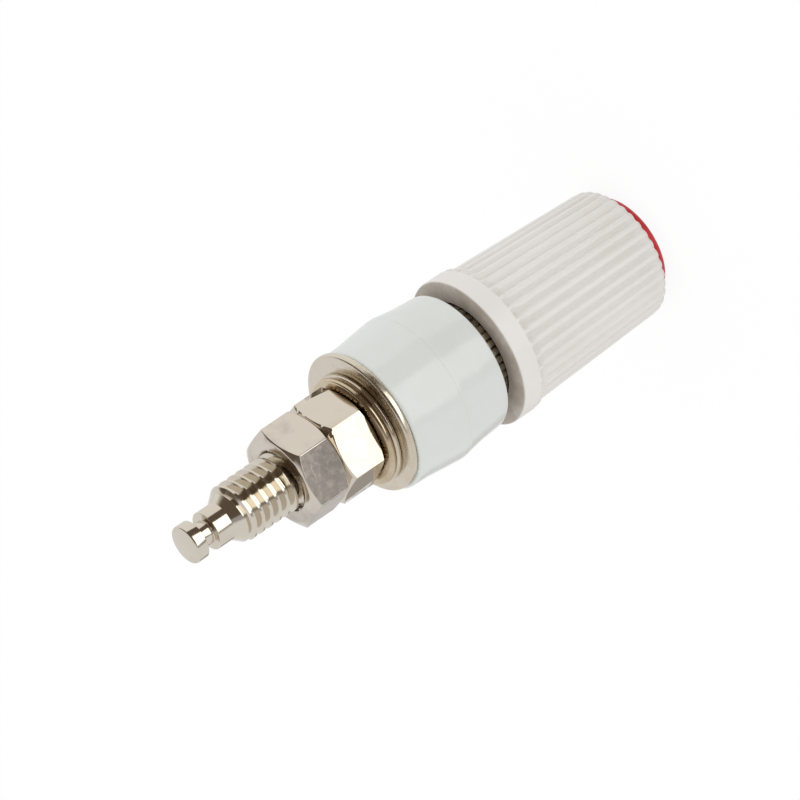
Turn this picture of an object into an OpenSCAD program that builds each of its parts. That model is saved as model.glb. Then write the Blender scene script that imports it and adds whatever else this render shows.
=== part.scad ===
// Panel binding post with a 4 mm socket, a ribbed clamping knob and an M6 tail.
// It stands on its knob end: Z runs from the knob's end face, at zero, up to the tip of the tail.
// Threads are plain cylinders at their outer diameter.

/* [Knob] */
// Length of the moulded knob
knob_len = 19.45; // [16:0.05:26]
// Diameter of the smooth collar at the knob's clamping end
knob_collar_d = 15.24; // [14.8:0.02:18]
// Height of the collar up to the step
knob_collar_h = 2.3; // [1.5:0.1:4]
// Height of the rounded step between collar and grip
knob_step_h = 1.2; // [0.8:0.1:2]
// Diameter over the ribs next to the collar
grip_d = 14.5; // [14.2:0.02:15]
// Diameter over the ribs at the socket end
grip_end_d = 13.26; // [12.8:0.02:14]
// Number of ribs around the grip
rib_count = 36; // [24:1:40]
// Radius of the groove between two ribs
groove_r = 0.33; // [0.2:0.01:0.4]
// Depth of a groove below the ribs
groove_depth = 0.27; // [0.1:0.01:0.32]
// Smooth length that is left at the knob's end face
knob_end_land = 1; // [0.8:0.1:3]
// Rounding of the knob's end edge
knob_end_round = 0.55; // [0.2:0.05:0.8]
// Rounding of the collar's lower edge
collar_round = 0.18; // [0.05:0.01:0.5]

/* [Marker cap] */
// Diameter of the coloured cap
cap_d = 10.6; // [9.5:0.1:11]
// How far the cap stands proud of the knob
cap_proud = 1.2; // [0.5:0.05:2]
// Depth of the cap inside the knob
cap_seat = 2; // [1:0.1:3]
// Diameter of the plug's way through the cap
cap_hole_d = 5.4; // [4.6:0.1:6]
// Chamfer that leads the plug into the cap
cap_lead_in = 0.5; // [0.2:0.1:0.8]
// Rounding of the cap's outer edge
cap_round = 0.3; // [0.1:0.05:0.5]

/* [Knob bush] */
// Length of the threaded bush in the knob
bush_len = 9; // [6:0.1:11]
// Diameter of the bush
bush_d = 10.8; // [10.2:0.1:11.4]
// How far the bush stands out of the knob's underside
bush_proud = 1.1; // [0.6:0.05:2]
// Number of teeth rolled on the bush
bush_teeth = 40; // [24:1:60]
// Depth of the teeth
bush_tooth_depth = 0.12; // [0.05:0.01:0.2]

/* [Stud] */
// Diameter of the socket post, over its thread
post_d = 8; // [7.6:0.1:8.6]
// Diameter of the plug socket
socket_d = 4; // [3.5:0.1:4.5]
// Depth of the plug socket
socket_depth = 13.4; // [8:0.1:14]
// Gap between the post's end and the cap
post_end_gap = 0.4; // [0.2:0.1:1]
// Diameter of the wire hole across the post
wire_hole_d = 3; // [2:0.1:3.2]
// Distance from the flange to the middle of the wire hole
wire_hole_up = 2.45; // [2:0.05:3]
// Diameter of the contact flange
flange_d = 10.8; // [10:0.1:11.4]
// Thickness of the contact flange
flange_t = 1.5; // [1:0.1:2]
// How far the flange stands proud of the front insulator
flange_proud = 0.35; // [0.1:0.05:0.8]
// Diameter of the keyed shank under the flange
shank_d = 7.6; // [7:0.1:8]
// Width over the two flats of the keyed shank
shank_flats = 6.2; // [6:0.1:6.8]
// Length of the keyed shank
shank_len = 3.4; // [2.5:0.1:4]
// Outer diameter of the tail's thread
thread_d = 5.85; // [5.8:0.01:6]
// Length of thread that shows beyond the nuts
thread_free = 5.85; // [5.7:0.05:12]
// Length of the cone that leads into the thread
lead_in_len = 1.33; // [0.8:0.01:2]
// Diameter of the solder tail's lands
land_d = 3.85; // [3:0.05:4.2]
// Length of the land next to the thread
land_len = 1.74; // [1:0.02:3]
// Diameter of the neck between the lands
neck_d = 2.35; // [1.8:0.05:2.8]
// Length of the neck
neck_len = 1.3; // [0.8:0.05:2]
// Length of the land at the tip
tip_len = 1.23; // [0.8:0.01:2]
// Chamfer of the tip
tip_chamfer = 0.15; // [0.05:0.01:0.3]

/* [Insulators] */
// Diameter of both insulators at the panel seam
seam_d = 15.26; // [15:0.02:17]
// Length of the front insulator
front_len = 5.35; // [5.2:0.05:8]
// Diameter of the front insulator at its waist
front_waist_d = 14.62; // [14.3:0.02:14.9]
// Distance from the seam to the front waist
front_waist = 2.5; // [1.5:0.1:3.5]
// Diameter of the front insulator at its rim
front_rim_d = 14.16; // [13.8:0.02:14.28]
// Length of the rear insulator
rear_len = 5.8; // [5.75:0.05:8]
// Diameter of the rear insulator at its waist
rear_waist_d = 14.46; // [14.4:0.02:14.9]
// Distance from the seam to the rear waist
rear_waist = 4; // [3:0.1:4.8]
// Diameter of the rear insulator at its back edge
rear_rim_d = 14.34; // [13.9:0.02:14.38]
// Rounding of the insulators' edges
insulator_round = 0.3; // [0.1:0.05:0.5]
// Diameter of the pilot that goes through the panel
pilot_d = 9.4; // [9:0.1:10.5]
// Length of the pilot
pilot_len = 4.4; // [4.2:0.1:4.8]
// Height of the flat that keys the pilot in the panel
pilot_flat = 4.1; // [4:0.05:4.4]

/* [Washers] */
// Diameter of the large dress washer
dress_d = 14.3; // [13:0.1:15]
// Thickness of the dress washer
dress_t = 0.8; // [0.5:0.05:1.2]
// Hole in the dress washer
dress_hole_d = 6.8; // [6.6:0.1:7.2]
// How far the loose dress washer lies to one side
dress_shift = 0.27; // [0:0.01:0.3]
// Rounding of the dress washer's edges
dress_round = 0.28; // [0.05:0.01:0.35]
// Diameter of the flat washer
flat_d = 11.3; // [10.6:0.1:12.5]
// Thickness of the flat washer
flat_t = 0.6; // [0.4:0.05:1.2]
// Hole in the flat washer
flat_hole_d = 6.3; // [6.2:0.1:6.8]
// Diameter of the toothed lock washer
lock_d = 11.2; // [10.6:0.1:12.5]
// Thickness of the lock washer
lock_t = 0.7; // [0.4:0.05:1]
// Inner diameter of the lock washer's ring
lock_ring_d = 9; // [8.4:0.1:9.6]
// Diameter of the circle that the teeth reach
lock_tooth_d = 6.4; // [6.2:0.1:7]
// Number of teeth of the lock washer
lock_teeth = 8; // [6:1:10]
// Width of one tooth
lock_tooth_w = 1.5; // [1:0.1:1.7]
// Rounding of the two small washers' edges
washer_round = 0.12; // [0.02:0.01:0.18]

/* [Nuts] */
// Width over the nuts' flats
nut_flats = 9; // [8.8:0.1:11]
// Height of each nut
nut_h = 4.35; // [3:0.05:6]
// Diameter of the nut's face inside its chamfer
nut_face_d = 8.6; // [7.8:0.1:8.7]
// Angle of the nut's chamfer
nut_chamfer_a = 30; // [20:1:35]
// Diameter of the countersink in the nut's faces
nut_sink_d = 6.5; // [6.2:0.1:7]
// Turn of the clamp nut about the axis
clamp_nut_turn = 44.6; // [0:0.1:60]
// Turn of the terminal nut about the axis
terminal_nut_turn = 40; // [0:0.1:60]

/* [Fits] */
// Running clearance of threads and turning seats, on the radius
run_gap = 0.05; // [0.02:0.01:0.08]
// Clearance round pieces that slide over the stud, on the radius
slide_gap = 0.15; // [0.1:0.01:0.25]
// Clearance of pressed and moulded seats, on the radius
seat_gap = 0.02; // [0.01:0.01:0.05]

/* [Hidden] */
fine = 96;
arc_steps = 6;
step_steps = 6;
over = 1;
tooth_root = 0.4;

// heights, from the knob's end face up to the tip of the tail
knob_z = cap_proud;
cap_top_z = knob_z + cap_seat;
post_end_z = cap_top_z + post_end_gap;
rim_z = knob_z + knob_len;
flange_z = rim_z + bush_proud;
bush_z = flange_z - bush_len;
front_z = flange_z + flange_proud;
flange_back_z = flange_z + flange_t;
seam_z = front_z + front_len;
rear_z = seam_z + rear_len;
flat_z = rear_z + dress_t;
lock_z = flat_z + flat_t;
clamp_z = lock_z + lock_t;
terminal_z = clamp_z + nut_h;
thread_z = terminal_z + nut_h;
lead_in_z = thread_z + thread_free;
land_z = lead_in_z + lead_in_len;
neck_z = land_z + land_len;
tip_z = neck_z + neck_len;
end_z = tip_z + tip_len;

// radii that several pieces share
thread_r = thread_d / 2;
post_r = post_d / 2;
flange_r = flange_d / 2;
land_r = land_d / 2;
grip_taper = atan((grip_d - grip_end_d) / 2 / (knob_len - knob_collar_h - knob_step_h - knob_end_round));
grip_z0 = knob_z + knob_end_round;
grip_z1 = rim_z - knob_collar_h - knob_step_h;
nut_corner_r = nut_flats / 2 / cos(30);
bush_tooth_side = bush_tooth_depth / sqrt(2);

// points of an arc about (x, y), from angle a0 to a1
function arc(x, y, r, a0, a1) =
    [for (i = [0 : arc_steps])
        let (a = a0 + (a1 - a0) * i / arc_steps) [x + r * cos(a), y + r * sin(a)]];

// radius over the ribs at height z
function grip_r(z) = grip_end_d / 2 + (z - grip_z0) * tan(grip_taper);

// solid of revolution from an outline in radius and height
module turned(outline) rotate_extrude($fn = fine) polygon(outline);

// round washer with rounded edges, standing on z
module washer(z, d, t, hole_d, edge) {
    r = d / 2;
    translate([0, 0, z])
        difference() {
            turned(concat([[0, 0]], arc(r - edge, edge, edge, -90, 0),
                          arc(r - edge, t - edge, edge, 0, 90), [[0, t]]));
            translate([0, 0, -over]) cylinder(d = hole_d, h = t + 2 * over, $fn = fine);
        }
}

// solder tail, M6 tail, keyed shank, contact flange and socket post, turned as one piece
module stud() {
    color("#d6cbbc")
        difference() {
            union() {
                turned([[0, post_end_z], [post_r, post_end_z], [post_r, flange_z], [flange_r, flange_z],
                        [flange_r, flange_back_z], [thread_r, flange_back_z], [thread_r, lead_in_z],
                        [land_r, land_z], [land_r, neck_z], [neck_d / 2, neck_z], [neck_d / 2, tip_z],
                        [land_r, tip_z], [land_r, end_z - tip_chamfer], [land_r - tip_chamfer, end_z],
                        [0, end_z]]);
                keyed_shank(shank_d, shank_flats, shank_len);
            }
            translate([0, 0, post_end_z - over])
                cylinder(d = socket_d, h = socket_depth + over, $fn = fine);
            translate([0, 0, flange_z - wire_hole_up]) rotate([90, 0, 0])
                cylinder(d = wire_hole_d, h = post_d + 2 * over, center = true, $fn = fine);
        }
}

// round bar with two flats, from the back of the flange
module keyed_shank(d, flats, len) {
    intersection() {
        translate([0, 0, flange_z]) cylinder(d = d, h = flange_t + len, $fn = fine);
        translate([-d, -flats / 2, flange_z - over]) cube([2 * d, flats, flange_t + len + 2 * over]);
    }
}

// round pilot with one flat, which keys both insulators and the panel
module keyed_pilot(d, flat, len) {
    intersection() {
        translate([0, 0, seam_z - over]) cylinder(d = d, h = len + over, $fn = fine);
        translate([-d, -flat, seam_z - 2 * over]) cube([2 * d, flat + d, len + 3 * over]);
    }
}

// front insulator: seats the flange, keys the shank and carries the pilot
module front_insulator() {
    r = front_rim_d / 2 - insulator_round;
    color("#d9dcdb")
        difference() {
            union() {
                turned(concat([[0, front_z]],
                              arc(r, front_z + insulator_round, insulator_round, -90, 0),
                              [[front_waist_d / 2, seam_z - front_waist],
                               [seam_d / 2, seam_z - insulator_round], [seam_d / 2, seam_z], [0, seam_z]]));
                keyed_pilot(pilot_d, pilot_flat, pilot_len);
            }
            translate([0, 0, front_z - over])
                cylinder(r = flange_r + seat_gap, h = flange_back_z - front_z + over, $fn = fine);
            keyed_shank(shank_d + 2 * seat_gap, shank_flats + 2 * seat_gap, shank_len + seat_gap);
            translate([0, 0, front_z])
                cylinder(r = thread_r + slide_gap, h = front_len + pilot_len + over, $fn = fine);
        }
}

// rear insulator: slides on the pilot, and clamps the panel against the front one
module rear_insulator() {
    r = rear_rim_d / 2 - insulator_round;
    color("#d7dad9")
        difference() {
            turned(concat([[0, seam_z], [seam_d / 2, seam_z], [seam_d / 2, seam_z + insulator_round / 2],
                           [rear_waist_d / 2, seam_z + rear_waist]],
                          arc(r, rear_z - insulator_round, insulator_round, 0, 90), [[0, rear_z]]));
            keyed_pilot(pilot_d + 2 * slide_gap, pilot_flat + slide_gap, pilot_len + slide_gap);
            translate([0, 0, seam_z])
                cylinder(r = thread_r + slide_gap, h = rear_len + over, $fn = fine);
        }
}

// large plated washer behind the rear insulator, which lies a little to one side
module dress_washer() {
    color("#d3c7b7")
        translate([dress_shift, 0, 0]) washer(rear_z, dress_d, dress_t, dress_hole_d, dress_round);
}

// plain washer under the lock washer
module flat_washer() {
    color("#cfc4b6") washer(flat_z, flat_d, flat_t, flat_hole_d, washer_round);
}

// one tooth of the lock washer, drawn from the ring towards the axis
module lock_tooth() {
    reach = (lock_ring_d - lock_tooth_d) / 2;
    translate([lock_tooth_d / 2, -lock_tooth_w / 2]) square([reach + tooth_root, lock_tooth_w]);
}

// lock washer with a plain ring and teeth inside
module lock_washer() {
    color("#c9bda9") {
        washer(lock_z, lock_d, lock_t, lock_ring_d, washer_round);
        translate([0, 0, lock_z]) linear_extrude(lock_t)
            for (i = [0 : lock_teeth - 1]) rotate(360 / lock_teeth * i) lock_tooth();
    }
}

// hexagon nut with chamfered corners and countersunk faces
module nut(z, turn) {
    face_r = nut_face_d / 2;
    drop = (nut_corner_r - face_r) * tan(nut_chamfer_a);
    sink = nut_sink_d / 2 - thread_r - run_gap;
    translate([0, 0, z]) rotate(turn)
        difference() {
            intersection() {
                cylinder(r = nut_corner_r, h = nut_h, $fn = 6);
                turned([[0, 0], [face_r, 0], [nut_corner_r, drop], [nut_corner_r + over, drop],
                        [nut_corner_r + over, nut_h - drop], [nut_corner_r, nut_h - drop],
                        [face_r, nut_h], [0, nut_h]]);
            }
            translate([0, 0, -over]) cylinder(r = thread_r + run_gap, h = nut_h + 2 * over, $fn = fine);
            cylinder(r1 = nut_sink_d / 2, r2 = nut_sink_d / 2 - sink, h = sink, $fn = fine);
            translate([0, 0, nut_h - sink])
                cylinder(r1 = nut_sink_d / 2 - sink, r2 = nut_sink_d / 2, h = sink, $fn = fine);
        }
}

// nut that holds the post in the panel
module clamp_nut() {
    color("#ddd3c5") nut(clamp_z, clamp_nut_turn);
}

// nut that holds a ring terminal on the tail
module terminal_nut() {
    color("#d2c8ba") nut(terminal_z, terminal_nut_turn);
}

// threaded brass bush of the knob, with rolled teeth round its outside
module knob_bush() {
    color("#cfc2ac")
        difference() {
            translate([0, 0, bush_z]) cylinder(d = bush_d, h = bush_len, $fn = fine);
            translate([0, 0, bush_z - over])
                cylinder(r = post_r + run_gap, h = bush_len + 2 * over, $fn = fine);
            for (i = [0 : bush_teeth - 1]) rotate(360 / bush_teeth * i)
                translate([bush_d / 2, 0, bush_z - over]) rotate(-45)
                    translate([-bush_tooth_side, -bush_tooth_side, 0])
                        cube([over, over, bush_len + 2 * over]);
        }
}

// one groove of the grip, with round ends, cut along the taper
module groove() {
    len = grip_z1 + knob_step_h - knob_end_land - knob_z - 2 * groove_r;
    x = grip_r(knob_z + knob_end_land) + groove_r - groove_depth;
    translate([x, 0, knob_z + knob_end_land + groove_r]) rotate([0, grip_taper, 0]) {
        cylinder(r = groove_r, h = len, $fn = 32);
        sphere(r = groove_r, $fn = 32);
        translate([0, 0, len]) sphere(r = groove_r, $fn = 32);
    }
}

// moulded knob: smooth collar, tapered grip with ribs, seats for the bush and the cap
module knob() {
    collar_r = knob_collar_d / 2;
    end_r = grip_end_d / 2;
    step = collar_r - grip_d / 2;
    color("#e3dfd9")
        difference() {
            turned(concat([[0, knob_z]],
                          arc(end_r - knob_end_round, knob_z + knob_end_round, knob_end_round, -90, 0),
                          [for (i = [0 : step_steps])
                              let (u = i / step_steps)
                                  [grip_d / 2 + step * (1 - cos(180 * u)) / 2, grip_z1 + knob_step_h * u]],
                          arc(collar_r - collar_round, rim_z - collar_round, collar_round, 0, 90),
                          [[0, rim_z]]));
            for (i = [0 : rib_count - 1]) rotate(360 / rib_count * (i + 0.5)) groove();
            translate([0, 0, knob_z - over])
                cylinder(r = cap_d / 2 + seat_gap, h = cap_seat + over, $fn = fine);
            translate([0, 0, knob_z])
                cylinder(r = post_r + 2 * slide_gap, h = knob_len + over, $fn = fine);
            translate([0, 0, bush_z - seat_gap])
                cylinder(r = bush_d / 2 + run_gap, h = bush_len + over, $fn = fine);
        }
}

// coloured cap pressed in the knob's end, with the plug's way through it
module marker_cap() {
    r = cap_d / 2;
    color("#cf2a32")
        difference() {
            turned(concat([[0, 0]], arc(r - cap_round, cap_round, cap_round, -90, 0),
                          [[r, cap_top_z], [0, cap_top_z]]));
            translate([0, 0, -over]) cylinder(d = cap_hole_d, h = cap_top_z + 2 * over, $fn = fine);
            cylinder(d1 = cap_hole_d + 2 * cap_lead_in, d2 = cap_hole_d, h = cap_lead_in, $fn = fine);
        }
}

stud();
front_insulator();
rear_insulator();
dress_washer();
flat_washer();
lock_washer();
clamp_nut();
terminal_nut();
knob_bush();
knob();
marker_cap();
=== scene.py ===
# Panel binding post, 4 mm socket, with a ribbed clamping knob and an M6 tail that ends in a solder pin.
# It stands on its knob end, with its axis along Z. Lengths are in millimetres until MM turns them to metres.
import math

import bmesh
import bpy
from mathutils import Matrix, Vector


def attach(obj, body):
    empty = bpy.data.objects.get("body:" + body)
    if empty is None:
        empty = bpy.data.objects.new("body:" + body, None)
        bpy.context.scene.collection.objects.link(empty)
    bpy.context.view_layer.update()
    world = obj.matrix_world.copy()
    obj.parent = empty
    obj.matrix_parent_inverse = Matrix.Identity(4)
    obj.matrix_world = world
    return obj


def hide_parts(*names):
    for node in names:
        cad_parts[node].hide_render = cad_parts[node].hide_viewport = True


MM = 0.001

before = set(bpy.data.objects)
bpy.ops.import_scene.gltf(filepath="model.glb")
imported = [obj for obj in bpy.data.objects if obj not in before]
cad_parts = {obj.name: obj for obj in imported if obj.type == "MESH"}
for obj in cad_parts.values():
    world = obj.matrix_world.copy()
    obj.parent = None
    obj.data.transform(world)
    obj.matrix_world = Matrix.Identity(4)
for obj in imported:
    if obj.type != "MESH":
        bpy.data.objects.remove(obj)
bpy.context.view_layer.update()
bpy.ops.object.select_all(action="DESELECT")


# ---------------------------------------------------------------------------------------------- Camera
# A long lens looks down on the near side of the post from its tail end.
# It is rolled, so that the post lies across the picture from the lower left to the upper right.
look_at = Vector((0, 0, 29.2)) * MM
camera_distance = 642 * MM
camera_rise = math.radians(27.4)
camera_roll = math.radians(214.16)

away = Vector((0, math.cos(camera_rise), -math.sin(camera_rise)))
level_up = Vector((0, math.sin(camera_rise), math.cos(camera_rise)))
level_right = Vector((1, 0, 0))
camera_right = level_up * math.cos(camera_roll) + level_right * math.sin(camera_roll)
camera_up = level_up * math.sin(camera_roll) - level_right * math.cos(camera_roll)
camera_axes = Matrix((camera_right, camera_up, -away)).transposed()

bpy.ops.object.camera_add(location=look_at - away * camera_distance, rotation=camera_axes.to_euler())
camera = bpy.context.object
camera.name = "studio_camera"
camera.data.lens = 315
camera.data.sensor_width = 36
camera.data.clip_start = 0.01
camera.data.clip_end = 20
bpy.context.scene.camera = camera
bpy.context.scene.view_settings.view_transform = "Standard"


# ---------------------------------------------------------------------------------------------- Studio
# White table and an even white light tent round the post.
# What shines shows the tent's parts: a white table, two soft boxes and the dark room between them.
def new_node(tree, kind, inputs=(), **settings):
    """Adds a node, sets its properties, and fills or links its inputs."""
    node = tree.nodes.new(kind)
    for key, value in settings.items():
        setattr(node, key, value)
    for socket, value in dict(inputs).items():
        if isinstance(value, bpy.types.NodeSocket):
            tree.links.new(value, node.inputs[socket])
        else:
            node.inputs[socket].default_value = value
    return node


def mixed_colour(tree, factor, first, second):
    """Colour that goes from first to second with factor."""
    node = new_node(tree, "ShaderNodeMix", data_type="RGBA")
    for socket, value in ((0, factor), (6, first), (7, second)):
        if isinstance(value, bpy.types.NodeSocket):
            tree.links.new(value, node.inputs[socket])
        else:
            node.inputs[socket].default_value = value
    return node.outputs[2]


white = (1, 1, 1, 1)
tent_white = (1, 1, 1, 1)
room_dark = (0.135, 0.102, 0.076, 1)
table_white = (0.9, 0.9, 0.92, 1)
back_box_white = (0.99, 0.98, 0.97, 1)
side_box_white = (2.05, 2.05, 2.02, 1)
shade_grey = (0.4, 0.375, 0.35, 1)
gap_grey = (0.43, 0.42, 0.43, 1)

world = bpy.data.worlds.new("light_tent")
bpy.context.scene.world = world
world.use_nodes = True
world.cycles.sampling_method = "NONE"
tent = world.node_tree
tent.nodes.clear()
looking = new_node(tent, "ShaderNodeTexCoord").outputs["Generated"]


def beyond_plane(normal, soft, shift=0.0):
    """Mask of the directions on that side of a plane through the post, with a soft edge."""
    along = new_node(tent, "ShaderNodeVectorMath", {0: looking, 1: normal}, operation="DOT_PRODUCT")
    limits = {"Value": along.outputs["Value"], "From Min": shift - soft, "From Max": shift + soft}
    return new_node(tent, "ShaderNodeMapRange", limits, interpolation_type="SMOOTHSTEP").outputs["Result"]


def both(first, second):
    return new_node(tent, "ShaderNodeMath", {0: first, 1: second}, operation="MULTIPLY").outputs[0]


table_part = beyond_plane((-0.655, 0.7555, 0), 0.03)
back_box = both(beyond_plane((0.5446, 0.8387, 0), 0.03), beyond_plane((0, 0, -1), 0.12, -0.42))
side_box = both(beyond_plane((-0.939, -0.338, 0.064), 0.03), beyond_plane((0.7325, -0.6435, 0.221), 0.03))
side_box = both(side_box, beyond_plane((0, 0, -1), 0.1, 0.12))
box_gap = beyond_plane((-0.906, 0.4226, 0), 0.05)
post_shade = beyond_plane((-0.4706, 0.7531, -0.46), 0.02, 0.98)
reflected = mixed_colour(tent, back_box, room_dark, back_box_white)
reflected = mixed_colour(tent, box_gap, reflected, gap_grey)
reflected = mixed_colour(tent, table_part, reflected, table_white)
reflected = mixed_colour(tent, side_box, reflected, side_box_white)
reflected = mixed_colour(tent, post_shade, reflected, shade_grey)
ray = new_node(tent, "ShaderNodeLightPath").outputs
seen = mixed_colour(tent, ray["Is Glossy Ray"], tent_white, reflected)
seen = mixed_colour(tent, ray["Is Camera Ray"], seen, white)
background = new_node(tent, "ShaderNodeBackground", {"Color": seen, "Strength": 1.0})
new_node(tent, "ShaderNodeOutputWorld", {"Surface": background.outputs[0]})

floor_size = 4000 * MM
floor_shadow = 0.08
bpy.ops.mesh.primitive_plane_add(size=floor_size, location=(0, 0, -0.02 * MM))
table = bpy.context.object
table.name = "table"
table.visible_glossy = False
table_paint = bpy.data.materials.new("table_paint")
table_paint.use_nodes = True
paint = table_paint.node_tree
paint.nodes.clear()
matt = new_node(paint, "ShaderNodeBsdfDiffuse", {"Color": (0.95, 0.95, 0.95, 1)})
bright = new_node(paint, "ShaderNodeEmission", {"Color": white, "Strength": 1.0})
shaded = new_node(paint, "ShaderNodeBsdfDiffuse", {"Color": white})
kept = new_node(paint, "ShaderNodeMixShader", {0: floor_shadow, 1: bright.outputs[0], 2: shaded.outputs[0]})
is_camera = new_node(paint, "ShaderNodeLightPath").outputs["Is Camera Ray"]
choice = new_node(paint, "ShaderNodeMixShader", {0: is_camera, 1: matt.outputs[0], 2: kept.outputs[0]})
new_node(paint, "ShaderNodeOutputMaterial", {"Surface": choice.outputs[0]})
table.data.materials.append(table_paint)


# ---------------------------------------------------------------------------------------------- Stud
# One piece of brass bar, turned, threaded and nickel plated: solder pin, M6 tail, contact flange and
# socket post. The tail's thread is rolled, the wire hole is drilled across the post by the flange.
def softened(corners, arc_steps=4):
    """Outline through (radius, height, fillet) corners, in millimetres, with the fillets drawn as arcs."""
    outline = []
    last = len(corners) - 1
    for i, (x, z, *fillet) in enumerate(corners):
        here = Vector((x, z))
        size = fillet[0] if fillet else 0
        if not size or i in (0, last):
            outline.append(here)
            continue
        back = (Vector(corners[i - 1][:2]) - here).normalized()
        on = (Vector(corners[i + 1][:2]) - here).normalized()
        half = back.angle(on) / 2
        centre = here + (back + on).normalized() * (size / math.sin(half))
        start = here + back * (size / math.tan(half)) - centre
        end = here + on * (size / math.tan(half)) - centre
        sweep = start.angle_signed(end)
        for k in range(arc_steps + 1):
            outline.append(centre + Matrix.Rotation(-sweep * k / arc_steps, 2) @ start)
    return outline


def select_only(piece):
    bpy.ops.object.select_all(action="DESELECT")
    piece.select_set(True)
    bpy.context.view_layer.objects.active = piece


def drawn(name, outline):
    """Piece with one line of edges: a vertex is extruded from point to point in the XZ plane."""
    bpy.ops.object.select_all(action="DESELECT")
    bpy.ops.mesh.primitive_plane_add(size=1 * MM, location=(0, 0, 0))
    piece = bpy.context.object
    piece.name = name
    points = [Vector((x, 0, z)) * MM for x, z in outline]
    bpy.ops.object.mode_set(mode="EDIT")
    bpy.ops.mesh.merge(type="CENTER")
    bpy.ops.transform.translate(value=points[0])
    for here, there in zip(points, points[1:]):
        bpy.ops.mesh.extrude_vertices_move(TRANSFORM_OT_translate={"value": there - here})
    bpy.ops.object.mode_set(mode="OBJECT")
    return piece


def tidied(piece, smooth):
    """Merges doubles, turns the faces outwards and shades the faces smooth up to that angle."""
    select_only(piece)
    bpy.ops.object.mode_set(mode="EDIT")
    bpy.ops.mesh.select_all(action="SELECT")
    bpy.ops.mesh.remove_doubles(threshold=0.002 * MM)
    bpy.ops.mesh.normals_make_consistent(inside=False)
    bpy.ops.object.mode_set(mode="OBJECT")
    bpy.ops.object.shade_smooth_by_angle(angle=math.radians(smooth))


def turned(name, outline, steps=144, degrees=360, smooth=40):
    """Piece of revolution round Z from an outline in millimetres."""
    piece = drawn(name, outline)
    select_only(piece)
    bpy.ops.object.mode_set(mode="EDIT")
    bpy.ops.mesh.select_all(action="SELECT")
    bpy.ops.mesh.spin(steps=steps, angle=math.radians(degrees), center=(0, 0, 0), axis=(0, 0, 1))
    bpy.ops.object.mode_set(mode="OBJECT")
    tidied(piece, smooth)
    return piece


def cut(piece, tool, operation="DIFFERENCE"):
    """Cuts the tool out of the piece, or joins or keeps what they share, and takes the tool away."""
    select_only(piece)
    change = piece.modifiers.new("cut", "BOOLEAN")
    change.operation = operation
    change.solver = "EXACT"
    change.object = tool
    bpy.ops.object.modifier_apply(modifier=change.name)
    bpy.data.objects.remove(tool)


def thread_tool(name, radius, pitch, depth, low, high, start):
    """Helical cutter: the space between two threads, wound round Z from low to high."""
    flank = math.tan(math.radians(30))
    crest = 0.22 * pitch
    outer = (pitch - crest) / 2
    side = [(radius - depth, outer - depth * flank), (radius + 0.01, outer), (radius + 0.5, outer)]
    profile = [(x, -z + low) for x, z in side] + [(x, z + low) for x, z in reversed(side)]
    tool = drawn(name, profile + profile[:1])
    select_only(tool)
    bpy.ops.object.mode_set(mode="EDIT")
    bpy.ops.mesh.select_all(action="SELECT")
    bpy.ops.mesh.remove_doubles(threshold=0.002 * MM)
    bpy.ops.transform.rotate(value=-math.radians(start), orient_axis="Z", center_override=(0, 0, 0))
    bpy.ops.object.mode_set(mode="OBJECT")
    wind = tool.modifiers.new("wind", "SCREW")
    wind.axis = "Z"
    wind.angle = math.tau
    wind.screw_offset = pitch * MM
    wind.iterations = math.ceil((high - low) / pitch)
    wind.steps = 72
    wind.render_steps = 72
    bpy.ops.object.modifier_apply(modifier=wind.name)
    bpy.ops.object.mode_set(mode="EDIT")
    bpy.ops.mesh.select_all(action="SELECT")
    bpy.ops.mesh.fill_holes(sides=0)
    bpy.ops.mesh.select_all(action="SELECT")
    bpy.ops.mesh.normals_make_consistent(inside=False)
    bpy.ops.object.mode_set(mode="OBJECT")
    return tool


def box_tool(name, low, high):
    """Box between two corners, as a cutter."""
    centre = (Vector(low) + Vector(high)) / 2 * MM
    bpy.ops.object.select_all(action="DESELECT")
    bpy.ops.mesh.primitive_cube_add(size=1, location=centre, scale=(Vector(high) - Vector(low)) * MM)
    tool = bpy.context.object
    tool.name = name
    bpy.ops.object.transform_apply(location=True, rotation=True, scale=True)
    return tool


stud_corners = [
    (0, 17.0), (1.9, 17.0), (2.0, 16.9), (2.0, 4.0), (2.4, 3.6, 0.1), (4.0, 3.6, 0.35), (4.0, 21.75),
    (5.4, 21.75, 0.1), (5.4, 23.25, 0.05), (3.8, 23.25), (3.8, 26.65, 0.1), (2.925, 26.65), (2.925, 49.9, 0.12),
    (1.925, 51.23, 0.06), (1.925, 52.97, 0.08), (1.175, 52.97, 0.1), (1.175, 54.27, 0.1), (1.925, 54.27, 0.08),
    (1.925, 55.5, 0.16), (0, 55.5),
]
stud = turned("plated_stud", softened(stud_corners), steps=128)
shank_flat = 3.1
for side in (-1, 1):
    low_y, high_y = sorted((side * shank_flat, side * 6))
    cut(stud, box_tool("shank_flat", (-6, low_y, 23.25), (6, high_y, 26.66)))
bpy.ops.mesh.primitive_cylinder_add(
    vertices=64, radius=1.5 * MM, depth=12 * MM, location=(0, 0, 19.3 * MM), rotation=(math.pi / 2, 0, 0))
wire_drill = bpy.context.object
bpy.ops.object.transform_apply(location=True, rotation=True, scale=True)
cut(stud, wire_drill)
cut(stud, thread_tool("tail_die", 2.925, 1.0, 0.57, 32.4, 53.4, 0))
cut(stud, thread_tool("post_die", 4.0, 1.0, 0.4, 4.3, 20.6, 0))
tidied(stud, 38)


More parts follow.
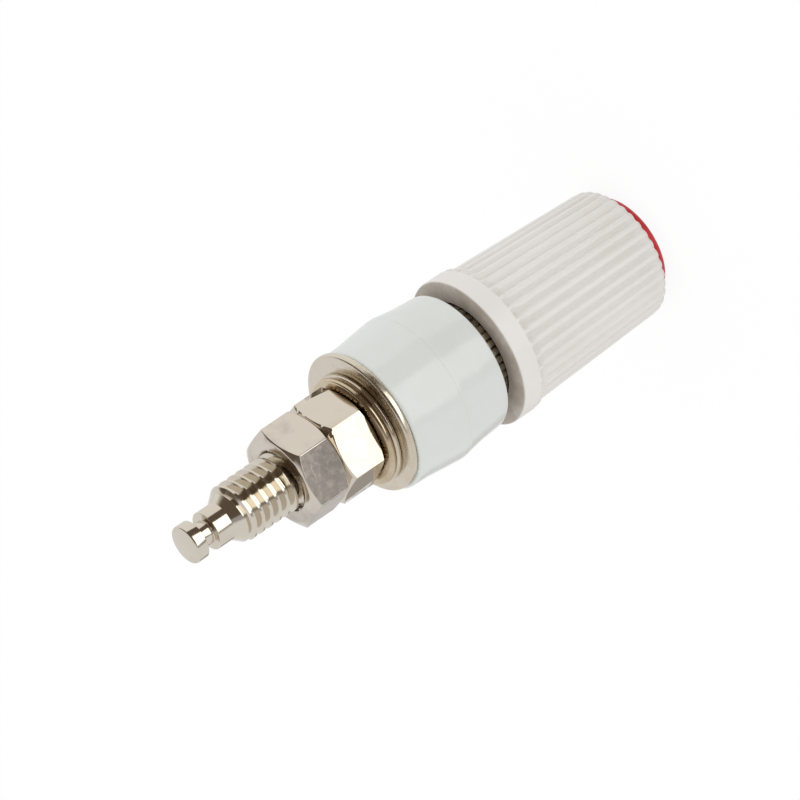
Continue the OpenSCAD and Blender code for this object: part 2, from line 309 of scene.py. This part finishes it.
def effect_group(name, inputs, outputs):
    """Empty node group with (name, socket kind, value) inputs and (name, socket kind) outputs."""
    group = bpy.data.node_groups.new(name, "ShaderNodeTree")
    for label, kind, value in inputs:
        socket = group.interface.new_socket(label, in_out="INPUT", socket_type=kind)
        if value is not None:
            socket.default_value = value
    for label, kind in outputs:
        group.interface.new_socket(label, in_out="OUTPUT", socket_type=kind)
    return group, group.nodes.new("NodeGroupInput").outputs, group.nodes.new("NodeGroupOutput").inputs


def maths(tree, operation, first, second=0.0, third=0.0):
    values = {0: first, 1: second, 2: third}
    return new_node(tree, "ShaderNodeMath", values, operation=operation).outputs[0]


def ramped(tree, value, low, high, out_low=0.0, out_high=1.0):
    limits = {"Value": value, "From Min": low, "From Max": high, "To Min": out_low, "To Max": out_high}
    return new_node(tree, "ShaderNodeMapRange", limits, interpolation_type="SMOOTHSTEP").outputs["Result"]


def noise(tree, vector, scale, detail=3.0, roughness=0.55):
    settings = {"Vector": vector, "Scale": scale, "Detail": detail, "Roughness": roughness}
    return new_node(tree, "ShaderNodeTexNoise", settings).outputs["Fac"]


VECTOR, VALUE, COLOUR = "NodeSocketVector", "NodeSocketFloat", "NodeSocketColor"

# rings left by the lathe: they run round the axis, so they change with radius and height only
lathe_rings, enter, leave = effect_group(
    "lathe_rings", [("Place", VECTOR, None), ("Fineness", VALUE, 9000.0)], [("Height", VALUE)])
place = new_node(lathe_rings, "ShaderNodeSeparateXYZ", {0: enter["Place"]}).outputs
flat_place = new_node(lathe_rings, "ShaderNodeCombineXYZ", {0: place[0], 1: place[1]}).outputs[0]
reach = new_node(lathe_rings, "ShaderNodeVectorMath", {0: flat_place}, operation="LENGTH").outputs["Value"]
ring_place = new_node(lathe_rings, "ShaderNodeCombineXYZ", {0: reach, 1: place[2]}).outputs[0]
lathe_rings.links.new(noise(lathe_rings, ring_place, enter["Fineness"], 2.0), leave["Height"])

# thin scratches from handling and barrel plating, in three directions, where a coarse noise lets them
scratches, enter, leave = effect_group(
    "scratches", [("Place", VECTOR, None), ("Size", VALUE, 700.0), ("Width", VALUE, 0.012)], [("Mask", VALUE)])
lines = None
for turn in ((0.3, 0.9, 0.2), (1.4, -0.5, 0.8), (-0.7, 0.2, 1.9)):
    laid = new_node(scratches, "ShaderNodeMapping", {0: enter["Place"], 2: turn, 3: (0.12, 1.0, 1.0)})
    waves = noise(scratches, laid.outputs[0], enter["Size"], 1.0)
    off_line = maths(scratches, "ABSOLUTE", maths(scratches, "SUBTRACT", waves, 0.5))
    line = ramped(scratches, maths(scratches, "DIVIDE", off_line, enter["Width"]), 0.0, 1.0, 1.0, 0.0)
    lines = line if lines is None else maths(scratches, "MAXIMUM", lines, line)
patches = ramped(scratches, noise(scratches, enter["Place"], 420.0, 2.0), 0.46, 0.62)
scratches.links.new(maths(scratches, "MULTIPLY", lines, patches), leave["Mask"])

# tarnish and thin plating: a clean colour that turns to a stain in soft clouds; on the knob bush both colours are
# dark, as painted shade
tarnish_and_shade, enter, leave = effect_group(
    "tarnish_and_shade", [("Place", VECTOR, None), ("Size", VALUE, 260.0), ("Plate_and_shade", COLOUR, white),
                ("Stain_and_shade", COLOUR, white), ("Amount", VALUE, 0.5)], [("Colour", COLOUR), ("Mask", VALUE)])
clouds = ramped(tarnish_and_shade, noise(tarnish_and_shade, enter["Place"], enter["Size"], 4.0), 0.42, 0.72)
amount = maths(tarnish_and_shade, "MULTIPLY", clouds, enter["Amount"])
tarnish_and_shade.links.new(mixed_colour(tarnish_and_shade, amount, enter["Plate_and_shade"], enter["Stain_and_shade"]), leave["Colour"])
tarnish_and_shade.links.new(amount, leave["Mask"])

# painted shade in a recess: a mask along Z, in metres, that is 1 from Full outwards and 0 from Clear outwards, broken
# up by clouds
painted_recess_shade, enter, leave = effect_group(
    "painted_recess_shade", [("Place", VECTOR, None), ("Full", VALUE, 0.0), ("Clear", VALUE, 0.001)], [("Mask", VALUE)])
place = new_node(painted_recess_shade, "ShaderNodeSeparateXYZ", {0: enter["Place"]}).outputs
depth_mask = ramped(painted_recess_shade, place[2], enter["Full"], enter["Clear"], 1.0, 0.0)
broken = ramped(painted_recess_shade, noise(painted_recess_shade, enter["Place"], 700.0, 3.0), 0.3, 0.6, 0.7, 1.0)
painted_recess_shade.links.new(maths(painted_recess_shade, "MULTIPLY", depth_mask, broken), leave["Mask"])


def effect(tree, group, inputs):
    """Node that places an effect group in a material with that material's own values."""
    node = tree.nodes.new("ShaderNodeGroup")
    node.node_tree = group
    for socket, value in inputs.items():
        if isinstance(value, bpy.types.NodeSocket):
            tree.links.new(value, node.inputs[socket])
        else:
            node.inputs[socket].default_value = value
    return node.outputs


def new_finish(name, **plain):
    """Material with a Principled shader that has the plain values; returns it with its tree and shader."""
    finish = bpy.data.materials.new(name)
    finish.use_nodes = True
    tree = finish.node_tree
    tree.nodes.clear()
    shader = new_node(tree, "ShaderNodeBsdfPrincipled")
    for socket, value in plain.items():
        shader.inputs[socket.replace("_", " ")].default_value = value
    new_node(tree, "ShaderNodeOutputMaterial", {"Surface": shader.outputs[0]})
    return finish, tree, shader


def raised(tree, height, distance):
    """Normal of a surface with that height over it."""
    return new_node(tree, "ShaderNodeBump", {"Height": height, "Strength": 1.0, "Distance": distance}).outputs[0]


painted_shade_brown = (0.34, 0.25, 0.15, 1)


def nickel(name, plate_and_shade, stain_and_shade, stain_and_shade_amount, smoothness, scuff_width, ring_depth, dent_depth,
           shade_full=-0.002, shade_clear=-0.001):
    """Nickel plate over brass, with clouds of tarnish, scratches, lathe rings and small dents, and a painted shade
    that turns the colour brown past a height. The knob bush's dark colours are painted shade as well.
    """
    finish, tree, shader = new_finish(name, Metallic=1.0)
    place = new_node(tree, "ShaderNodeTexCoord").outputs["Object"]
    cloud = effect(tree, tarnish_and_shade, {"Place": place, "Plate_and_shade": (*plate_and_shade, 1), "Stain_and_shade": (*stain_and_shade, 1),
                                   "Amount": stain_and_shade_amount})
    scuffs = effect(tree, scratches, {"Place": place, "Width": scuff_width})["Mask"]
    rings = effect(tree, lathe_rings, {"Place": place})["Height"]
    dents = noise(tree, place, 900.0, 2.0)
    rough_cloud = ramped(tree, noise(tree, place, 1500.0, 3.0), 0.3, 0.7, smoothness * 0.65, smoothness * 1.35)
    rough = maths(tree, "ADD", rough_cloud, maths(tree, "MULTIPLY", scuffs, 0.06))
    heights = maths(tree, "MULTIPLY_ADD", dents, dent_depth / ring_depth, rings)
    heights = maths(tree, "SUBTRACT", heights, maths(tree, "MULTIPLY", scuffs, 0.12))
    recess_shade_mask = effect(tree, painted_recess_shade, {"Place": place, "Full": shade_full, "Clear": shade_clear})["Mask"]
    tree.links.new(mixed_colour(tree, recess_shade_mask, cloud["Colour"], painted_shade_brown), shader.inputs["Base Color"])
    tree.links.new(rough, shader.inputs["Roughness"])
    tree.links.new(raised(tree, heights, ring_depth * MM), shader.inputs["Normal"])
    return finish


stud_plate = nickel("stud_nickel", plate_and_shade=(0.66, 0.605, 0.515), stain_and_shade=(0.55, 0.48, 0.37), stain_and_shade_amount=0.5,
                    smoothness=0.11, scuff_width=0.012, ring_depth=0.0012, dent_depth=0.004)
stud.data.materials.clear()
stud.data.materials.append(stud_plate)
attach(stud, "post")
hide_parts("stud")


# ---------------------------------------------------------------------------------------- Front insulator
# Grey nylon bush, injection moulded, that seats the contact flange. It is widest at the panel seam, and its
# keyed pilot goes through the panel and into the rear insulator.
front_corners = [
    (3.075, 31.85), (4.7, 31.85, 0.15), (4.7, 27.45), (7.63, 27.45, 0.02), (7.63, 27.15, 0.4),
    (7.31, 24.95, 2.5), (7.08, 22.1, 0.3), (5.42, 22.1, 0.08), (5.42, 23.25), (3.075, 23.25), (3.075, 31.85),
]
front_insulator = turned("front_insulator_moulding", softened(front_corners), steps=192)
cut(front_insulator, box_tool("pilot_key", (-6, -6, 27.452), (6, -4.1, 32)))
bpy.ops.mesh.primitive_cylinder_add(
    vertices=96, radius=3.82 * MM, depth=3.52 * MM, location=(0, 0, (23.15 + 3.52 / 2) * MM))
shank_pocket = bpy.context.object
bpy.ops.object.transform_apply(location=True, rotation=True, scale=True)
for side in (-1, 1):
    low_y, high_y = sorted((side * 3.12, side * 6))
    cut(shank_pocket, box_tool("pocket_flat", (-6, low_y, 23), (6, high_y, 27)))
cut(front_insulator, shank_pocket)
tidied(front_insulator, 35)

# moulded grain: the very fine ripple of a mould's surface
mould_grain, enter, leave = effect_group(
    "mould_grain", [("Place", VECTOR, None), ("Fineness", VALUE, 2500.0)], [("Height", VALUE), ("Mask", VALUE)])
ripple = noise(mould_grain, enter["Place"], enter["Fineness"], 3.0, 0.5)
mould_grain.links.new(ripple, leave["Height"])
flow = ramped(mould_grain, noise(mould_grain, enter["Place"], 130.0, 3.0), 0.35, 0.65)
mould_grain.links.new(flow, leave["Mask"])


painted_shade_warm = (0.46, 0.40, 0.34, 1)


def moulded(name, light, dark, roughness, fineness, depth, shade_full=-0.002, shade_clear=-0.001,
             **plain):
    """Moulded plastic whose colour drifts a little, with a mould's grain, and a painted shade that turns the colour
    warm grey past a height.
    """
    finish, tree, shader = new_finish(name, **plain)
    place = new_node(tree, "ShaderNodeTexCoord").outputs["Object"]
    grain = effect(tree, mould_grain, {"Place": place, "Fineness": fineness})
    scuffs = effect(tree, scratches, {"Place": place, "Width": 0.008})["Mask"]
    colour = mixed_colour(tree, grain["Mask"], (*light, 1), (*dark, 1))
    recess_shade_mask = effect(tree, painted_recess_shade, {"Place": place, "Full": shade_full, "Clear": shade_clear})["Mask"]
    colour = mixed_colour(tree, recess_shade_mask, colour, painted_shade_warm)
    rough = maths(tree, "MULTIPLY_ADD", scuffs, 0.12, ramped(tree, grain["Height"], 0.3, 0.7,
                                                             roughness * 0.85, roughness * 1.15))
    tree.links.new(colour, shader.inputs["Base Color"])
    tree.links.new(rough, shader.inputs["Roughness"])
    tree.links.new(raised(tree, grain["Height"], depth * MM), shader.inputs["Normal"])
    return finish


grey_nylon = moulded("grey_nylon", light=(0.705, 0.72, 0.695), dark=(0.675, 0.695, 0.662), roughness=0.16,
                     fineness=900.0, depth=0.004)
front_insulator.data.materials.append(grey_nylon)
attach(front_insulator, "post")
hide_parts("front_insulator")


# ----------------------------------------------------------------------------------------- Rear insulator
# The same grey nylon. It slides on the pilot from behind the panel, and its pocket has the pilot's key.
rear_corners = [
    (3.075, 33.25), (3.075, 32.0), (4.85, 32.0), (4.85, 27.45), (7.63, 27.45, 0.02), (7.63, 27.6, 0.05),
    (7.23, 31.45, 2.5), (7.17, 33.25, 0.3), (3.075, 33.25),
]
rear_insulator = turned("rear_insulator_moulding", softened(rear_corners), steps=192)
cut(rear_insulator, box_tool("pocket_key", (-2.6, -5.3, 27.46), (2.6, -4.25, 32.2)), "UNION")
tidied(rear_insulator, 35)
rear_insulator.data.materials.append(grey_nylon)
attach(rear_insulator, "rear_stack")
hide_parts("rear_insulator")


# ------------------------------------------------------------------------------------------- Dress washer
# Large stamped washer, nickel plated. It spreads the nut's load over the rear insulator and lies a little
# to one side, because its hole is wider than the tail.
def washer(name, inner, outer, low, high, edge, hole_edge, shift, finish, body, node):
    corners = [(inner, low, hole_edge), (outer, low, edge), (outer, high, edge), (inner, high, hole_edge)]
    middle = ((inner + outer) / 2, low)
    piece = turned(name, softened([middle, *corners[1:], corners[0], middle]), steps=160)
    select_only(piece)
    bpy.ops.object.mode_set(mode="EDIT")
    bpy.ops.mesh.select_all(action="SELECT")
    bpy.ops.transform.translate(value=(shift * MM, 0, 0))
    bpy.ops.object.mode_set(mode="OBJECT")
    piece.data.materials.append(finish)
    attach(piece, body)
    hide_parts(node)
    return piece


washer_plate = nickel("washer_nickel", plate_and_shade=(0.66, 0.60, 0.50), stain_and_shade=(0.52, 0.41, 0.25), stain_and_shade_amount=0.45,
                      smoothness=0.24, scuff_width=0.012, ring_depth=0.0008, dent_depth=0.006)
washer("dress_washer_plate", 3.4, 7.15, 33.25, 34.05, 0.27, 0.1, 0.27, washer_plate,
       "rear_stack", "dress_washer")


# -------------------------------------------------------------------------------------------- Flat washer
# Plain stamped washer of the same plated steel, which carries the lock washer's edge.
flat_plate = nickel("flat_washer_nickel", plate_and_shade=(0.64, 0.57, 0.47), stain_and_shade=(0.42, 0.33, 0.22), stain_and_shade_amount=0.5,
                    smoothness=0.14, scuff_width=0.012, ring_depth=0.0008, dent_depth=0.008)
washer("flat_washer_plate", 3.15, 5.65, 34.05, 34.65, 0.27, 0.06, 0, flat_plate,
       "rear_stack", "flat_washer")


# -------------------------------------------------------------------------------------------- Lock washer
# Spring washer with a plain ring and twisted teeth inside, which bite the clamp nut.
spring_plate = nickel("spring_steel", plate_and_shade=(0.60, 0.50, 0.36), stain_and_shade=(0.30, 0.21, 0.11), stain_and_shade_amount=0.6,
                      smoothness=0.16, scuff_width=0.012, ring_depth=0.0008, dent_depth=0.008)
lock_ring = washer("lock_washer_spring", 4.5, 5.6, 34.65, 35.35, 0.3, 0.05, 0, spring_plate,
                   "rear_stack", "lock_washer")
lock_tooth_count = 8
tooth_twist = math.radians(8)
for k in range(lock_tooth_count):
    bpy.ops.object.select_all(action="DESELECT")
    bpy.ops.mesh.primitive_cube_add(size=1, location=(3.95 * MM, 0, 0), scale=(1.5 * MM, 1.45 * MM, 0.44 * MM))
    tooth = bpy.context.object
    bpy.ops.object.transform_apply(location=True, rotation=True, scale=True)
    tooth.data.transform(Matrix.Rotation(math.tau * k / lock_tooth_count, 4, "Z")
                         @ Matrix.Rotation(tooth_twist, 4, "X"))
    tooth.data.transform(Matrix.Translation((0, 0, 35.0 * MM)))
    cut(lock_ring, tooth, "UNION")
tidied(lock_ring, 35)


# ---------------------------------------------------------------------------------------------- Clamp nut
# M6 hexagon nut of plated brass, chamfered on both faces, which clamps the post in its panel.
# Both nuts were tumbled in the plating barrel, so their edges are soft and their sides are scuffed.
def hexagon_nut(name, flats, low, high, turn, face, sink, bore):
    """Nut with softened edges: a hexagon cut by a turned chamfer on each face, bored and countersunk."""
    corner = flats / 2 / math.cos(math.radians(30))
    middle = (low + high) / 2 * MM
    bpy.ops.object.select_all(action="DESELECT")
    bpy.ops.mesh.primitive_cylinder_add(
        vertices=6, radius=corner * MM, depth=(high - low) * MM, location=(0, 0, middle),
        rotation=(0, 0, math.radians(turn - 90)))
    nut = bpy.context.object
    nut.name = name
    bpy.ops.object.transform_apply(location=True, rotation=True, scale=True)
    bpy.ops.object.mode_set(mode="EDIT")
    mesh = bmesh.from_edit_mesh(nut.data)
    bpy.ops.mesh.select_all(action="DESELECT")
    for edge in mesh.edges:
        edge.select = abs(edge.verts[0].co.z - edge.verts[1].co.z) > MM
    bpy.ops.mesh.bevel(offset=0.22 * MM, segments=4, affect="EDGES")
    bpy.ops.object.mode_set(mode="OBJECT")
    drop = (corner - face) * math.tan(math.radians(30))
    chamfer = [(0, low), (face, low, 0.35), (corner, low + drop), (corner + 1, low + drop + 0.6),
               (corner + 1, high - drop - 0.6), (corner, high - drop), (face, high, 0.35), (0, high)]
    cut(nut, turned("chamfer_tool", softened(chamfer, 5), steps=144), "INTERSECT")
    cone = sink - bore
    drill = [(0, low - 1), (sink + 0.2, low - 1), (sink + 0.2, low - 0.2), (bore, low + cone),
             (bore, high - cone), (sink + 0.2, high + 0.2), (sink + 0.2, high + 1), (0, high + 1)]
    cut(nut, turned("nut_drill", softened(drill), steps=96))
    soften = nut.modifiers.new("soften", "BEVEL")
    soften.width = 0.09 * MM
    soften.segments = 3
    soften.limit_method = "ANGLE"
    soften.angle_limit = math.radians(35)
    soften.use_clamp_overlap = True
    select_only(nut)
    bpy.ops.object.modifier_apply(modifier=soften.name)
    tidied(nut, 40)
    even = nut.modifiers.new("even", "WEIGHTED_NORMAL")
    even.keep_sharp = True
    even.weight = 90
    bpy.ops.object.modifier_apply(modifier=even.name)
    return nut


clamp_nut = hexagon_nut("clamp_nut_plated", 9.0, 35.35, 39.70, 44.6, 4.3, 3.25, 2.975)
# Its colour turns brown near its lower face: painted shade where it sits on the lock washer.
clamp_plate = nickel("clamp_nut_nickel", plate_and_shade=(0.66, 0.60, 0.51), stain_and_shade=(0.56, 0.47, 0.34), stain_and_shade_amount=0.4,
                     smoothness=0.09, scuff_width=0.016, ring_depth=0.0004, dent_depth=0.008,
                     shade_full=35.55 * MM, shade_clear=35.85 * MM)
clamp_nut.data.materials.append(clamp_plate)
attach(clamp_nut, "clamp_nut")
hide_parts("clamp_nut")


# ------------------------------------------------------------------------------------------- Terminal nut
# A second nut of the same kind, which holds a ring terminal against the first one.
terminal_nut = hexagon_nut("terminal_nut_plated", 9.0, 39.70, 44.05, 40.0, 4.3, 3.25, 2.975)
terminal_plate = nickel("terminal_nut_nickel", plate_and_shade=(0.655, 0.595, 0.515), stain_and_shade=(0.40, 0.36, 0.32),
                        stain_and_shade_amount=0.7, smoothness=0.13, scuff_width=0.01, ring_depth=0.0004,
                        dent_depth=0.012)
terminal_nut.data.materials.append(terminal_plate)
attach(terminal_nut, "terminal_nut")
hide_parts("terminal_nut")


# ---------------------------------------------------------------------------------------------- Knob bush
# Threaded brass bush with rolled teeth, moulded into the knob. Its end stands proud of the knob's underside.
def pick(piece, chosen):
    """Selects the vertices whose place in millimetres passes the test, in edit mode."""
    bpy.ops.mesh.select_all(action="DESELECT")
    mesh = bmesh.from_edit_mesh(piece.data)
    for vertex in mesh.verts:
        vertex.select = chosen(*(vertex.co / MM))
    mesh.select_flush(True)
    bmesh.update_edit_mesh(piece.data)


def repeated(piece, count, smooth):
    """Copies a finished sector round the axis until it closes, and merges the seams."""
    select_only(piece)
    bpy.ops.object.mode_set(mode="EDIT")
    bpy.ops.mesh.select_all(action="SELECT")
    bpy.ops.mesh.spin(steps=count - 1, angle=math.tau * (count - 1) / count, dupli=True,
                      center=(0, 0, 0), axis=(0, 0, 1))
    bpy.ops.object.mode_set(mode="OBJECT")
    tidied(piece, smooth)


bush_tooth_count = 40
bush_radius = 5.4
bush_corners = [(4.05, 12.75, 0.2), (bush_radius, 12.75, 0.2), (bush_radius, 21.75, 0.12), (4.3, 21.75),
                (4.05, 21.5), (4.05, 17)]
knob_bush = turned("knob_bush_knurled", softened([(4.05, 17), *bush_corners]), steps=6,
                   degrees=360 / bush_tooth_count)
select_only(knob_bush)
bpy.ops.object.mode_set(mode="EDIT")
half_tooth = math.pi / bush_tooth_count
pick(knob_bush, lambda x, y, z: math.hypot(x, y) > 5.2 and abs(abs(math.atan2(y, x)) - half_tooth) > 0.9 * half_tooth)
bpy.ops.transform.resize(value=(0.974, 0.974, 1), center_override=(0, 0, 0))
bpy.ops.object.mode_set(mode="OBJECT")
repeated(knob_bush, bush_tooth_count, 20)
# The bush's dark plate and near-black stain are painted shade of the narrow gap between the knob and the front
# insulator.
shaded_bush_plate = nickel("bush_nickel_painted_shade", plate_and_shade=(0.36, 0.31, 0.24), stain_and_shade=(0.10, 0.08, 0.06), stain_and_shade_amount=0.8,
                    smoothness=0.22, scuff_width=0.012, ring_depth=0.001, dent_depth=0.004)
knob_bush.data.materials.append(shaded_bush_plate)
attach(knob_bush, "knob_bush")
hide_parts("knob_bush")


# --------------------------------------------------------------------------------------------------- Knob
# Off-white thermoplastic knob, moulded over the bush: a smooth collar, a rounded step, and a tapered grip
# whose 36 rounded ribs end at the step and run out over the rounded end.
rib_count = 36
rib_steps = 16
knob_low = 1.2
knob_high = 20.65
grip_low_radius = 6.63
grip_high = 17.15
step_high = 18.35
grip_slope = (7.25 - 6.63) / (grip_high - 1.75)
collar_radius = 7.62
groove_depth = 0.38
groove_half = 0.55
groove_fade = 1.6
groove_low = 1.15
groove_high = 18.5


def grip_radius(z):
    """Radius over the ribs, carried on straight past both ends."""
    return grip_low_radius + (z - 1.75) * grip_slope


def step_radius(z):
    """Radius of the rounded step from the grip up to the collar."""
    share = min(max((z - grip_high) / (step_high - grip_high), 0), 1)
    return grip_radius(grip_high) + (collar_radius - grip_radius(grip_high)) * (1 - math.cos(math.pi * share)) / 2


heights = [2.15, 2.4, 2.8, *[3.4 + 0.8 * k for k in range(17)], 16.8, grip_high]
knob_corners = [(4.3, 8), (4.3, 3.2), (5.32, 3.2), (5.32, knob_low, 0.06), (grip_radius(knob_low), knob_low, 0.8)]
knob_corners += [(grip_radius(z), z) for z in heights]
knob_corners += [(step_radius(grip_high + 0.1 * k), grip_high + 0.1 * k) for k in range(1, 13)]
knob_corners += [(collar_radius, z) for z in (18.45, 18.55, 18.7, 19.2)]
knob_corners += [(collar_radius, knob_high, 0.18), (5.45, knob_high, 0.05), (5.45, 12.73), (4.3, 12.73), (4.3, 8)]
knob = turned("knob_moulding", softened(knob_corners, 7), steps=rib_steps, degrees=360 / rib_count)


def groove_radius(radius, offset, z):
    """Radius of the skin after the groove is pressed in, at that distance from the groove's middle."""
    across = ((1 + math.cos(math.pi * offset / groove_half)) / 2) ** 1.4
    end_share = min(max((z - knob_low) / groove_fade, 0), 1)
    floor = min(radius, grip_radius(z)) - groove_depth * (0.5 + 0.5 * end_share) * across
    if z > grip_high - 0.3:
        wall = min(max((groove_half - abs(offset)) / 0.16, 0), 1)
        floor = floor + (radius - grip_radius(z)) * (1 - wall)
    end = min(max((groove_high - z) / 0.28, 0), 1)
    floor = radius + (floor - radius) * math.sqrt(end)
    return min(radius, floor)


select_only(knob)
bpy.ops.object.mode_set(mode="EDIT")
skin = {}
for vertex in bmesh.from_edit_mesh(knob.data).verts:
    x, y, z = vertex.co / MM
    radius = math.hypot(x, y)
    offset = abs(abs(math.atan2(y, x)) - math.pi / rib_count) * radius
    if radius > 5.6 and groove_low < z < groove_high and offset < groove_half:
        factor = round(groove_radius(radius, offset, z) / radius, 4)
        if factor < 1:
            skin.setdefault(factor, set()).add(vertex.index)
for factor, members in skin.items():
    bpy.ops.mesh.select_all(action="DESELECT")
    mesh = bmesh.from_edit_mesh(knob.data)
    mesh.verts.ensure_lookup_table()
    for index in members:
        mesh.verts[index].select = True
    mesh.select_flush(True)
    bpy.ops.transform.resize(value=(factor, factor, 1), center_override=(0, 0, 0))
bpy.ops.object.mode_set(mode="OBJECT")
repeated(knob, rib_count, 50)

# The knob's face across the narrow gap from the front insulator turns warm grey: painted shade of the gap.
knob_plastic = moulded("off_white_plastic", light=(0.785, 0.762, 0.728), dark=(0.765, 0.738, 0.70),
                       roughness=0.4, fineness=3500.0, depth=0.003, shade_full=20.66 * MM,
                       shade_clear=20.5 * MM)
knob.data.materials.append(knob_plastic)
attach(knob, "knob")
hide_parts("knob")


# --------------------------------------------------------------------------------------------- Marker cap
# Red cap pressed into the knob's end, which marks the terminal's polarity. The plug goes in through it.
cap_corners = [(2.7, 2), (2.7, 0.5, 0.1), (3.2, 0, 0.08), (5.3, 0, 0.75), (5.3, 3.2, 0.05), (2.7, 3.2, 0.05),
               (2.7, 2)]
marker_cap = turned("marker_cap_red", softened(cap_corners), steps=144)
cap_plastic = moulded("red_plastic", light=(0.62, 0.016, 0.022), dark=(0.55, 0.012, 0.018), roughness=0.45,
                      fineness=1500.0, depth=0.003)
marker_cap.data.materials.append(cap_plastic)
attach(marker_cap, "knob")
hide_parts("marker_cap")
